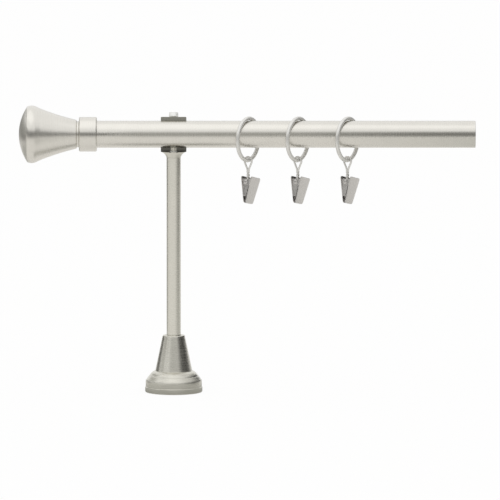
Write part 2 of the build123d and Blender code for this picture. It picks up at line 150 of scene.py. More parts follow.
class RingSizes(bpy.types.PropertyGroup):
    """The curtain rings and the wire links that hang on them."""

    wire: size("Ring wire", "Wire diameter of the rings", 2.8)
    joint_depth: size("Ring joint", "Depth of the butt joint's line in the ring", 0.06)
    strand: size("Link strand", "Wire diameter of the links", 1.3)
    loop: size("Link loop radius", "Radius of the link's upper loop at the wire's middle", 2.925)
    loop_drop: size("Link loop drop", "Loop centre below the ring's wire", 0.55)
    fork_drop: size("Fork drop", "Where the two strands meet, below the ring's wire", 7.3)
    twist: size("Twist radius", "Distance of each strand from the shank's middle", 0.5)
    twist_turns: level("Twist turns", "Turns of the twisted shank", 1.5)
    eye: size("Eye radius", "Radius of the eye on the clip's pin", 1.825)
    length: size("Link length", "From the ring's wire down to the eye's centre", 15.6)


class ClipSizes(bpy.types.PropertyGroup):
    """The sprung clips."""

    sheet: size("Sheet", "Thickness of the leaves", 0.6)
    lever: size("Lever height", "Height of the leaves above the pin", 4.0)
    jaw: size("Jaw height", "Height of the leaves below the pin", 14.7)
    top_width: size("Top width", "Width of a leaf at its lever", 14.0)
    bottom_width: size("Bottom width", "Width of a leaf at its jaw", 10.0)
    corner: size("Corner", "Radius of the leaf's corners", 1.6)
    top_spread: size("Top spread", "Distance over both levers", 8.5)
    bottom_spread: size("Bottom spread", "Distance over both jaws", 2.4)
    bend: size("Lip bend", "Length of the bend from leaf to lip", 1.0)
    jaw_gap: size("Jaw gap", "Gap between the closed lips", 0.2)
    tooth: size("Tooth width", "Width of a tooth and of the gap beside it", 1.0)
    tooth_depth: size("Tooth depth", "Depth of the gaps between teeth", 0.4)
    tooth_gaps: IntProperty(name="Tooth gaps", description="Gaps in the front lip", default=4)
    pin: size("Pin", "Diameter of the pin", 1.8)
    pin_slip: size("Pin slip", "Clearance of the ears on the pin", 0.05)
    pin_head: size("Pin head", "Diameter of the pin's heads", 2.8)
    pin_head_height: size("Pin head height", "Height of each head", 0.4)
    ear: size("Ear radius", "Radius of the ears round the pin", 2.2)
    front_ear: size("Front ear", "Outer face of the front leaf's ears, from the middle", 6.468)
    rear_ear: size("Rear ear", "Outer face of the rear leaf's cheeks, from the middle", 5.468)
    head_gap: size("Head gap", "Gap between the front ears and the pin's heads", 0.1)
    cheek_drop: size("Cheek drop", "How far the rear leaf's cheeks reach below the pin", 10.0)
    cheek_tip: size("Cheek tip", "Front corner of a cheek, ahead of the pin", 0.8)
    ear_edge: size("Ear edge", "Rounding of the rims of ears and cheeks", 0.15)
    spring_wire: size("Spring wire", "Wire diameter of the spring", 0.5)
    spring_radius: size("Spring radius", "Radius of the coil at the wire's middle", 1.5)
    spring_first: size("Spring start", "Middle of the first turn along the pin", -2.625)
    spring_last: size("Spring end", "Middle of the last turn along the pin", 0.775)
    spring_turns: level("Spring turns", "Turns of the coil", 6.5)
    spring_leg: size("Spring leg", "Height of the spring's legs above the pin", 3.1)
    spring_reach: size("Spring reach", "How far each leg leans out to its leaf", 2.78)


class Finishes(bpy.types.PropertyGroup):
    """Colours and gloss of the metals."""

    nickel: tint("Nickel", "Satin nickel of the rod and finial", (0.74, 0.72, 0.67))
    bracket: tint("Bracket nickel", "Satin nickel of the bracket", (0.66, 0.645, 0.58))
    # The stem's nickel is the bracket's made lighter: a painted sheen for the brighter reflection
    # the stem shows
    stem: tint("Stem nickel", "Satin nickel of the stem", (0.71, 0.695, 0.63))
    wire: tint("Wire", "Nickel plated wire of rings and links", (0.75, 0.74, 0.71))
    sheet: tint("Sheet", "Nickel plated sheet of the clips", (0.71, 0.69, 0.67))
    screw: tint("Screws", "Bright zinc plate of the screws", (0.95, 0.95, 0.93))
    polish: share("Polish", "Mean roughness of the satin metal", 0.28)


class StageSettings(bpy.types.PropertyGroup):
    """Camera, floor and light."""

    aim: FloatVectorProperty(
        name="Aim", description="Point in the middle of the picture", size=3,
        default=(0.0538, 0.0, 0.1006), subtype="TRANSLATION", unit="LENGTH",
    )
    elevation: turn("Camera elevation", "Height of the camera above the level", 6.5)
    distance: size("Camera distance", "From the camera to the aim", 8000.0)
    lens: level("Lens", "Focal length in millimetres on a 36 mm sensor", 817.0)
    floor: tint("Floor", "Colour of the floor", (0.84, 0.83, 0.81))
    whiteness: share("Floor whiteness", "Share of plain white in the floor as it is seen", 0.94)
    mirrored: tint("Mirrored floor", "Tone of the floor in reflections", (0.8, 0.78, 0.74))
    mirrored_share: share("Mirrored share", "Share of that tone in reflections", 0.25)
    world: level("World", "Strength of the surroundings as light", 1.0)
    softbox: level("Softbox", "Power of the large lamp over the rod, in watts", 0.8)
    fill: level("Fill", "Power of the lamp at the left front, in watts", 0.1)


class CurtainRodSettings(bpy.types.PropertyGroup):
    """Everything that a user would change."""

    rod: PointerProperty(type=RodSizes)
    finial: PointerProperty(type=FinialSizes)
    ring: PointerProperty(type=RingSizes)
    clip: PointerProperty(type=ClipSizes)
    finish: PointerProperty(type=Finishes)
    stage: PointerProperty(type=StageSettings)


# Points, directions and outlines

def circle(count):
    """Angles evenly spaced round a full turn."""
    return np.linspace(0.0, 2 * np.pi, count, endpoint=False)


def stacked(*parts):
    """Points from their parts along each direction; a single number serves all of them."""
    return np.stack(np.broadcast_arrays(*parts), axis=-1)


def unit(vectors):
    """Each row divided by its length."""
    return vectors / np.linalg.norm(vectors, axis=1, keepdims=True)


def soften(corners, reach, closed=True, steps=4):
    """An outline with rounded corners: each corner becomes a curve from the point `reach` before
    it to the point `reach` after it, the sum of start, corner and end weighted by the squares and
    twice the product of 1 - t and t. The reach is held to a share of the shorter side."""
    most = 0.45
    corners = np.asarray(corners, float)
    before = np.roll(corners, 1, axis=0) - corners
    after = np.roll(corners, -1, axis=0) - corners
    before_length = np.linalg.norm(before, axis=1, keepdims=True)
    after_length = np.linalg.norm(after, axis=1, keepdims=True)
    reach = np.minimum(reach, most * np.minimum(before_length, after_length))
    start = corners + before / before_length * reach
    end = corners + after / after_length * reach
    t = np.linspace(0.0, 1.0, steps + 1)[:, None, None]
    curves = ((1 - t) ** 2 * start + 2 * t * (1 - t) * corners + t**2 * end).transpose(1, 0, 2)
    if closed:
        return curves.reshape(-1, 2)
    return np.vstack([corners[:1], curves[1:-1].reshape(-1, 2), corners[-1:]])


def arc(start, end, bulge, count):
    """Points on a circular arc from start to end whose middle stands `bulge` to the left of the
    chord: with half opening h, twice the arctangent of twice the bulge over the chord, a point at
    angle a lies at radius times sin a along the chord and radius times cos a - cos h beside it."""
    start = np.asarray(start, float)
    chord = np.asarray(end, float) - start
    length = np.linalg.norm(chord)
    along = chord / length
    left = np.array([-along[1], along[0]])
    half = 2 * np.arctan(2 * bulge / length)
    radius = length / 2 / np.sin(half)
    angle = np.linspace(-half, half, count)[:, None]
    middle = start + chord / 2
    return middle + radius * (np.sin(angle) * along + (np.cos(angle) - np.cos(half)) * left)


# Surfaces, each a shell of points, four-sided faces and three-sided faces

def shell(grid, ring):
    """The surface through a grid of points whose columns close on themselves. With ring the rows
    close too; without it each end row is closed by a fan to its middle. Faces are turned outwards
    by the sign of the enclosed volume."""
    rows, columns = grid.shape[:2]
    points = grid.reshape(-1, 3)
    column = np.arange(columns)
    next_column = np.roll(column, -1)
    row = np.arange(rows if ring else rows - 1)[:, None] * columns
    next_row = (row + columns) % (rows * columns)
    quads = np.stack(
        [row + column, row + next_column, next_row + next_column, next_row + column], axis=-1
    ).reshape(-1, 4)
    fans = np.empty((0, 3), int)
    if not ring:
        first, last = rows * columns, rows * columns + 1
        points = np.vstack([points, grid[0].mean(axis=0), grid[-1].mean(axis=0)])
        end = (rows - 1) * columns
        fans = np.vstack([
            stacked(next_column, column, first), stacked(end + column, end + next_column, last),
        ])
    triangles = np.vstack([quads[:, [0, 1, 2]], quads[:, [0, 2, 3]], fans])
    corner = points[triangles]
    volume = np.einsum("ij,ij->", corner[:, 0], np.cross(corner[:, 1], corner[:, 2]))
    if volume < 0:
        quads, fans = quads[:, ::-1], fans[:, ::-1]
    return points, quads, fans


def turned(profile, origin, axis, side, ring, segments=144):
    """A profile of (along, radius) turned about an axis: each point goes to origin + along times
    the axis + radius times (cos a times side + sin a times the third direction)."""
    angle = circle(segments)[:, None]
    spokes = np.cos(angle) * side + np.sin(angle) * np.cross(axis, side)
    profile = np.asarray(profile, float)
    grid = origin + profile[:, :1, None] * axis + profile[:, 1:, None] * spokes
    return shell(grid, ring)


def wire(path, radius, reference, closed, sides=16):
    """A round wire: at each path point a circle of that radius, in the plane across the path. Its
    first direction is the path's direction crossed with the reference, its second completes it."""
    if closed:
        forward = np.roll(path, -1, axis=0) - np.roll(path, 1, axis=0)
    else:
        forward = np.gradient(path, axis=0)
    forward = unit(forward)
    side = unit(np.cross(forward, reference))
    lift = np.cross(side, forward)
    angle = circle(sides)[None, :, None]
    radius = np.broadcast_to(radius, len(path))[:, None, None]
    around = np.cos(angle) * side[:, None] + np.sin(angle) * lift[:, None]
    return shell(path[:, None] + radius * around, closed)


def placed(shells, origin, directions):
    """Shells in local coordinates carried to origin + x, y and z along the three directions."""
    basis = np.array(directions)
    return [(origin + points @ basis, quads, fans) for points, quads, fans in shells]


def add_object(name, data):
    """A new object in the scene's own collection."""
    thing = bpy.data.objects.new(name, data)
    bpy.context.scene.collection.objects.link(thing)
    return thing


def make_piece(name, shells, material, body, stands_for, twist=None):
    """One object from closed shells, at the origin, with corner normals weighted by face area.
    Without a twist it is attached to its body; with a twist its place is baked into its points, and
    the twist's body and points, and the piece's own body, are not used."""
    points = np.vstack([s[0] for s in shells])
    starts = np.cumsum([0] + [len(s[0]) for s in shells[:-1]])
    quads = np.vstack([s[1] + start for s, start in zip(shells, starts)])
    fans = np.vstack([s[2] + start for s, start in zip(shells, starts)])
    mesh = bpy.data.meshes.new(name)
    mesh.from_pydata(points.tolist(), [], quads.tolist() + fans.tolist())
    mesh.polygons.foreach_set("use_smooth", np.ones(len(mesh.polygons), bool))
    normals = np.zeros_like(points)
    quad, fan = points[quads], points[fans]
    quad_area = np.cross(quad[:, 2] - quad[:, 0], quad[:, 3] - quad[:, 1])
    fan_area = np.cross(fan[:, 1] - fan[:, 0], fan[:, 2] - fan[:, 0])
    np.add.at(normals, quads.ravel(), np.repeat(quad_area, 4, axis=0))
    np.add.at(normals, fans.ravel(), np.repeat(fan_area, 3, axis=0))
    never_zero = 1e-30
    normals /= np.maximum(np.linalg.norm(normals, axis=1, keepdims=True), never_zero)
    mesh.normals_split_custom_set_from_vertices(normals.tolist())
    mesh.materials.append(material)
    piece = add_object(name, mesh)
    if twist:
        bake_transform(piece)
    else:
        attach(piece, body)
    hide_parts(stands_for)


def pivot_of(name):
    """Place and direction of a packed hinge."""
    joint = next(j for j in frame["joints"] if j["name"] == name)
    return np.array(joint["pos_m"], float), np.array(joint["axis"], float)


def ring_plane(number):
    """Where a ring carries its link, the level direction across the ring, and the way it faces."""
    pivot, across = pivot_of(f"link_{number}_swing")
    return pivot, across, np.cross(across, z_axis)


def finish_node(node, material):
    """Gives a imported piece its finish."""
    frame["nodes"][node].material_slots[0].material = material


# Finishes

class Nodes:
    """A short way to add and join the shader nodes of a material or a world."""

    def __init__(self, owner):
        owner.use_nodes = True
        self.tree = owner.node_tree
        self.tree.nodes.clear()

    def add(self, kind, inputs=None, **settings):
        """A new node, with its settings, and with its inputs joined to an output or set."""
        node = self.tree.nodes.new(kind)
        for key, value in settings.items():
            setattr(node, key, value)
        for key, value in (inputs or {}).items():
            if isinstance(value, bpy.types.NodeSocket):
                self.tree.links.new(value, node.inputs[key])
            else:
                node.inputs[key].default_value = value
        return node

    def math(self, operation, first, second=0.0):
        """One operation on two numbers."""
        return self.add("ShaderNodeMath", {0: first, 1: second}, operation=operation).outputs[0]

    def remap(self, value, low, high, to_low, to_high, steps="LINEAR"):
        """A number carried from one range to another and held there."""
        inputs = {
            "Value": value, "From Min": low, "From Max": high, "To Min": to_low, "To Max": to_high,
        }
        return self.add("ShaderNodeMapRange", inputs, interpolation_type=steps).outputs[0]

    def parts(self, vector):
        """A vector's parts along X, Y and Z."""
        return self.add("ShaderNodeSeparateXYZ", {"Vector": vector}).outputs

    def noise(self, vector, scale, detail, roughness):
        """A cloudy number around one half."""
        inputs = {"Vector": vector, "Scale": scale, "Detail": detail, "Roughness": roughness}
        return self.add("ShaderNodeTexNoise", inputs).outputs["Fac"]

    def glow(self, colour):
        """An even shade that takes no light."""
        inputs = {"Color": (*colour, 1.0), "Strength": 1.0}
        return self.add("ShaderNodeEmission", inputs).outputs[0]

    def clear(self):
        """Nothing to be seen."""
        return self.add("ShaderNodeBsdfTransparent").outputs[0]

    def mix(self, part, first, second):
        """The first shader, with a part of the second."""
        return self.add("ShaderNodeMixShader", {0: part, 1: first, 2: second}).outputs[0]


# Each metal: the name of its colour, how much rougher than the polish it is, its share of metal,
# and its brush lines in a metre along X, Y and Z. Few along a direction let the lines run that way.
metals = {
    "rod_satin_nickel": ("nickel", 0.0, 1.0, (6000.0, 60.0, 60.0)),
    "finial_spun_nickel": ("nickel", 0.02, 1.0, (5000.0, 60.0, 60.0)),
    "bracket_satin_nickel": ("bracket", 0.02, 1.0, (60.0, 60.0, 5000.0)),
    "cover_satin_nickel": ("bracket", 0.0, 1.0, (60.0, 60.0, 5000.0)),
    "holder_satin_nickel": ("bracket", 0.02, 1.0, (60.0, 60.0, 5000.0)),
    # The stem's lighter colour is a painted sheen
    "stem_satin_nickel": ("stem", 0.0, 1.0, (60.0, 60.0, 6000.0)),
    "ring_wire_nickel": ("wire", 0.10, 0.65, (500.0, 500.0, 500.0)),
    "clip_sheet_nickel": ("sheet", 0.02, 1.0, (900.0, 900.0, 120.0)),
    "screw_zinc": ("screw", 0.2, 0.4, (700.0, 700.0, 700.0)),
}


def satin_metal(finish, name, painted_lip_shade=None, soft_edge=None):
    """Plated metal with fine brush lines. The lines change gloss, shade and relief a little, and a
    slow cloud changes the shade. The values for the painted shade on the holder's lips are those of
    paint_lip_shade, and for a soft edge those of round_edges."""
    material = bpy.data.materials.get(name)
    if material:
        return material
    gloss_change, shade_change = 0.04, 0.03
    relief, line_depth = 0.02, 0.0001
    usual_low, usual_high = 0.3, 0.7
    colour, dullness, metal_share, line_counts = metals[name]
    roughness = finish.polish + dullness
    material = bpy.data.materials.new(name)
    nodes = Nodes(material)
    place = nodes.add("ShaderNodeTexCoord").outputs
    lines_at = nodes.add("ShaderNodeMapping", {"Vector": place["Object"], "Scale": line_counts})
    lines = nodes.noise(lines_at.outputs["Vector"], scale=1.0, detail=3.0, roughness=0.6)
    cloud = nodes.noise(place["Object"], scale=90.0, detail=2.0, roughness=0.5)
    dull, bright = roughness + gloss_change, roughness - gloss_change
    gloss = nodes.remap(lines, usual_low, usual_high, bright, dull)
    both = nodes.math("ADD", lines, cloud)
    deep, pale = 1.0 - shade_change, 1.0 + shade_change
    shade = nodes.remap(both, 2 * usual_low, 2 * usual_high, deep, pale)
    # Painted shade: the holder's lips are darkened in the colour
    if painted_lip_shade:
        shade = paint_lip_shade(nodes, place, shade, *painted_lip_shade)
    tinted = nodes.add(
        "ShaderNodeVectorMath", {0: tuple(getattr(finish, colour)), "Scale": shade},
        operation="SCALE",
    )
    bump = nodes.add(
        "ShaderNodeBump", {"Height": lines, "Strength": relief, "Distance": line_depth}
    )
    if soft_edge:
        rounded = round_edges(nodes, place, *soft_edge)
        nodes.tree.links.new(rounded, bump.inputs["Normal"])
    metal = nodes.add(
        "ShaderNodeBsdfPrincipled",
        {
            "Base Color": tinted.outputs["Vector"], "Metallic": metal_share, "Roughness": gloss,
            "Normal": bump.outputs["Normal"],
        },
    )
    nodes.add("ShaderNodeOutputMaterial", {"Surface": metal.outputs["BSDF"]})
    return material


def round_edges(nodes, place, lowest, reach, change, upper_reach):
    """A normal that rounds edges in the shading: not at all below the lowest height, by the reach
    up to the height of change, and by the upper reach above it."""
    blur = 0.0005
    height = nodes.parts(place["Object"])["Z"]
    above = nodes.math("GREATER_THAN", height, lowest)
    reaches = nodes.remap(height, change - blur, change + blur, reach, upper_reach)
    radius = nodes.math("MULTIPLY", above, reaches)
    return nodes.add("ShaderNodeBevel", {"Radius": radius}, samples=8).outputs["Normal"]


def paint_lip_shade(nodes, place, shade, low, high, low_shade, high_shade, spine):
    """Painted shade on the cradle's lips: the metal's shade mixed with a painted dark where the
    surface looks straight to the front. The part is a smooth step of the normal's backward part,
    and the painted dark runs from the low height to the high one, so the lower lip is darker.
    Below the middle, the spine keeps its own shade."""
    straight, slanting = -0.97, -0.9
    margin = 0.0003
    facing = nodes.parts(place["Normal"])["Y"]
    frontal = nodes.remap(facing, straight, slanting, 1.0, 0.0, "SMOOTHSTEP")
    spot = nodes.parts(place["Object"])
    above = nodes.math("GREATER_THAN", spot["Z"], low - margin)
    aside = nodes.math("ABSOLUTE", spot["X"])
    beside_spine = nodes.math("GREATER_THAN", aside, spine)
    upper = nodes.math("GREATER_THAN", spot["Z"], (low + high) / 2)
    off_spine = nodes.math("MAXIMUM", beside_spine, upper)
    on_lip = nodes.math("MULTIPLY", above, off_spine)
    part = nodes.math("MULTIPLY", frontal, on_lip)
    # The painted dark, from the low height to the high one
    own = nodes.remap(spot["Z"], low, high, low_shade, high_shade)
    mixed = nodes.add("ShaderNodeMix", {0: part, 2: shade, 3: own}, data_type="FLOAT")
    return mixed.outputs[0]


def cover_metal(finish):
    """The bracket's nickel with the polished, rounded edges of the spun cover. Its lower edge
    stays crisp on the wall plate."""
    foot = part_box("rosette_cover")[0].z
    crisp_height, shoulder_height = 0.0025, 0.0062
    skirt_reach, cone_reach = 0.0022, 0.0005
    return satin_metal(
        finish, "cover_satin_nickel",
        soft_edge=(foot + crisp_height, skirt_reach, foot + shoulder_height, cone_reach),
    )


def holder_metal(finish):
    """The bracket's nickel, with painted shade on the cradle's two front faces: they are darkened
    in the colour, the lower lip more than the upper.
    """
    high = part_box("rod_holder")[1]
    cradle_radius = high.y
    lip_low = high.z - 2 * cradle_radius
    # How dark the painted shade leaves the lower lip and the upper lip
    low_shade, high_shade = 0.15, 0.75
    spine_half_width = 0.0019
    return satin_metal(
        finish, "holder_satin_nickel",
        painted_lip_shade=(lip_low, high.z, low_shade, high_shade, spine_half_width),
    )


# Operators

class CURTAINROD_OT_tube(bpy.types.Operator):
    """Rod tube, with an open cut end"""

    bl_idname = "curtain_rod.tube"
    bl_label = "Rod tube"

    def execute(self, context):
        settings = context.scene.curtain_rod
        low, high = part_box("rod_tube")
        outer = (high.z - low.z) / 2
        inner = outer - settings.rod.wall
        origin = np.array([0.0, 0.0, (high.z + low.z) / 2])
        rows = 14
        outside = np.linspace((low.x, outer), (high.x, outer), rows)
        inside = np.linspace((high.x, inner), (low.x, inner), rows)
        profile = soften(np.vstack([outside, inside]), settings.rod.edge)
        tube = turned(profile, origin, x_axis, z_axis, ring=True, segments=160)
        metal = satin_metal(settings.finish, "rod_satin_nickel")
        make_piece("rod_tube_satin", [tube], metal, fixed_body, "rod_tube")
        return {"FINISHED"}


class CURTAINROD_OT_finial(bpy.types.Operator):
    """Finial: collar, spun flare with a rolled rim, and domed cap"""

    bl_idname = "curtain_rod.finial"
    bl_label = "Finial"

    def execute(self, context):
        settings = context.scene.curtain_rod
        sizes, metal = settings.finial, satin_metal(settings.finish, "finial_spun_nickel")
        finish_node("finial_collar", metal)
        low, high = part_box("finial_cone")
        origin = np.array([0.0, 0.0, (high.z + low.z) / 2])
        neck_x = high.x - sizes.groove_width
        rim_right = low.x + sizes.rim_width
        mouth_x = rim_right + sizes.rim_step
        web_x = neck_x - sizes.web
        bore, groove, neck = sizes.stud_bore / 2, sizes.groove / 2, sizes.neck / 2
        mouth, rim_edge = sizes.mouth / 2, sizes.rim_edge / 2
        seat = rim_edge - sizes.rim_wall
        rim_bulge = (high.z - low.z) / 2 - rim_edge
        profile = soften(
            np.vstack([
                [(web_x, bore), (high.x, bore), (high.x, groove), (neck_x, groove)],
                arc((neck_x, neck), (mouth_x, mouth), sizes.flare_hollow, count=16),
                arc((rim_right, rim_edge), (low.x, rim_edge), -rim_bulge, count=9),
                [(low.x, seat), (rim_right, seat), (mouth_x, mouth - sizes.flare_wall)],
                [(web_x, neck - sizes.flare_wall / 2)],
            ]),
            sizes.edge,
        )
        flare = turned(profile, origin, x_axis, z_axis, ring=True)
        make_piece("finial_flare", [flare], metal, fixed_body, "finial_cone")
        self.make_cap(sizes, metal, origin)
        return {"FINISHED"}

    def make_cap(self, sizes, metal, origin):
        """The cap is a shallow ball section on a short skirt: both faces are arcs to the axis."""
        low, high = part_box("finial_dome")
        rim_left = high.x - sizes.cap_skirt
        slip = 0.00005
        skirt = sizes.rim_edge / 2 - sizes.rim_wall - slip
        inner = skirt - sizes.cap_wall
        rise = rim_left - low.x
        outside = self.cap_arc(rim_left, sizes.cap / 2, rise)
        inside = self.cap_arc(rim_left, inner, rise - sizes.cap_wall)
        edge = [(rim_left, skirt), (high.x, skirt), (high.x, inner)]
        profile = soften(np.vstack([outside[::-1], edge, inside]), sizes.edge, closed=False)
        cap = turned(profile, origin, x_axis, z_axis, ring=False)
        make_piece("finial_cap", [cap], metal, fixed_body, "finial_dome")

    def cap_arc(self, edge_x, edge, rise):
        """A ball section from its edge to the axis: radius (edge squared + rise squared) over
        twice the rise, angle from the edge's down to almost nothing."""
        ball = (edge**2 + rise**2) / (2 * rise)
        angle = np.linspace(np.arcsin(edge / ball), near_axis / ball, num=24)
        centre = edge_x - rise + ball
        return stacked(centre - ball * np.cos(angle), ball * np.sin(angle))


class CURTAINROD_OT_bracket(bpy.types.Operator):
    """Bracket: holder, stem, rosette cover and wall plate"""

    bl_idname = "curtain_rod.bracket"
    bl_label = "Bracket"

    def execute(self, context):
        settings = context.scene.curtain_rod
        finish = settings.finish
        finish_node("rosette_cover", cover_metal(finish))
        finish_node("wall_plate", satin_metal(finish, "bracket_satin_nickel"))
        finish_node("rod_holder", holder_metal(finish))
        low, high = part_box("stem")
        radius = (high.x - low.x) / 2
        bore, depth = settings.rod.stem_bore / 2, settings.rod.stem_bore_depth
        profile = soften(
            np.vstack([
                [(low.z + depth, near_axis), (low.z + depth, bore), (low.z, bore)],
                np.linspace((low.z, radius), (high.z, radius), num=10),
                [(high.z, bore), (high.z - depth, bore), (high.z - depth, near_axis)],
            ]),
            settings.rod.stem_edge, closed=False,
        )
        stem = turned(profile, np.zeros(3), z_axis, x_axis, ring=False)
        # Painted sheen: the stem's nickel is lighter than the bracket's
        metal = satin_metal(finish, "stem_satin_nickel")
        make_piece("stem_satin", [stem], metal, fixed_body, "stem")
        return {"FINISHED"}


class CURTAINROD_OT_screws(bpy.types.Operator):
    """Screws and studs"""

    bl_idname = "curtain_rod.screws"
    bl_label = "Screws and studs"

    def execute(self, context):
        metal = satin_metal(context.scene.curtain_rod.finish, "screw_zinc")
        for node in (
            "holder_set_screw", "finial_set_screw", "cover_set_screw",
            "finial_stud", "holder_stud", "plate_stud",
        ):
            finish_node(node, metal)
        return {"FINISHED"}


class CURTAINROD_OT_rings(bpy.types.Operator):
    """Curtain rings of round wire"""

    bl_idname = "curtain_rod.rings"
    bl_label = "Curtain rings"

    def execute(self, context):
        settings = context.scene.curtain_rod
        metal = satin_metal(settings.finish, "ring_wire_nickel")
        for number in ring_numbers:
            make_piece(
                f"curtain_ring_wire_{number}", [self.ring(settings.ring, number)], metal,
                f"ring_{number}", f"curtain_ring_{number}",
            )
        return {"FINISHED"}

    def ring(self, sizes, number):
        """The wire's middle runs round a circle; its radius dips by a narrow bell curve at the
        butt joint, a quarter turn from the top."""
        low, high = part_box(f"curtain_ring_{number}")
        centre = np.array((low + high) / 2)
        wire_radius = sizes.wire / 2
        radius = (high.z - low.z) / 2 - wire_radius
        across, facing = ring_plane(number)[1:]
        angle = circle(256)
        path = centre + radius * (np.cos(angle)[:, None] * z_axis + np.sin(angle)[:, None] * across)
        joint_angle, joint_width = np.pi / 2, 0.018
        joint = np.exp(-(((angle - joint_angle) / joint_width) ** 2))
        thickness = wire_radius - sizes.joint_depth * joint
        return wire(path, thickness, facing, closed=True, sides=28)


class CURTAINROD_OT_links(bpy.types.Operator):
    """Eye links of twisted wire"""

    bl_idname = "curtain_rod.links"
    bl_label = "Eye links"

    def execute(self, context):
        settings = context.scene.curtain_rod
        metal = satin_metal(settings.finish, "ring_wire_nickel")
        for number in ring_numbers:
            pivot, across, facing = ring_plane(number)
            link = placed(self.link(settings.ring), pivot, (facing, across, z_axis))
            make_piece(
                f"clip_eye_wire_{number}", link, metal, f"link_{number}",
                f"clip_eye_{number}",
            )
        return {"FINISHED"}

    def link(self, sizes):
        """One bent wire: up one strand of the twist, over the loop and down the other strand, with
        a closed eye below. At height w a strand stands at the angle of the twist there, at a
        distance that is the root of the twist radius squared plus the leg's lean squared."""
        below = sizes.fork_drop - sizes.loop_drop
        fork_angle = np.arccos(sizes.loop / below)
        leg_side = sizes.loop * np.sin(fork_angle)
        leg_top = -sizes.loop_drop - sizes.loop * np.cos(fork_angle)
        foot = sizes.eye - sizes.length
        height = np.linspace(foot, leg_top, num=90)
        lean = np.clip((height + sizes.fork_drop) / (leg_top + sizes.fork_drop), 0.0, None)
        lean = lean * np.sqrt(leg_side**2 - sizes.twist**2)
        distance = np.hypot(sizes.twist, lean)
        into_twist = np.clip((-sizes.fork_drop - height) / (-sizes.fork_drop - foot), 0.0, None)
        tightening = 1.3
        angle = 2 * np.pi * sizes.twist_turns * into_twist**tightening
        strand = stacked(distance * np.cos(angle), distance * np.sin(angle), height)
        other = strand[::-1] * (-1, -1, 1)
        bow = np.linspace(-np.pi / 2 + fork_angle, np.pi * 1.5 - fork_angle, num=42)[1:-1]
        loop = stacked(sizes.loop * np.cos(bow), 0.0, sizes.loop * np.sin(bow) - sizes.loop_drop)
        around = circle(48)
        eye = stacked(sizes.eye * np.cos(around), 0.0, sizes.eye * np.sin(around) - sizes.length)
        return [
            wire(np.vstack([strand, loop, other]), sizes.strand / 2, y_axis, closed=False),
            wire(eye, sizes.strand / 2, y_axis, closed=True),
        ]


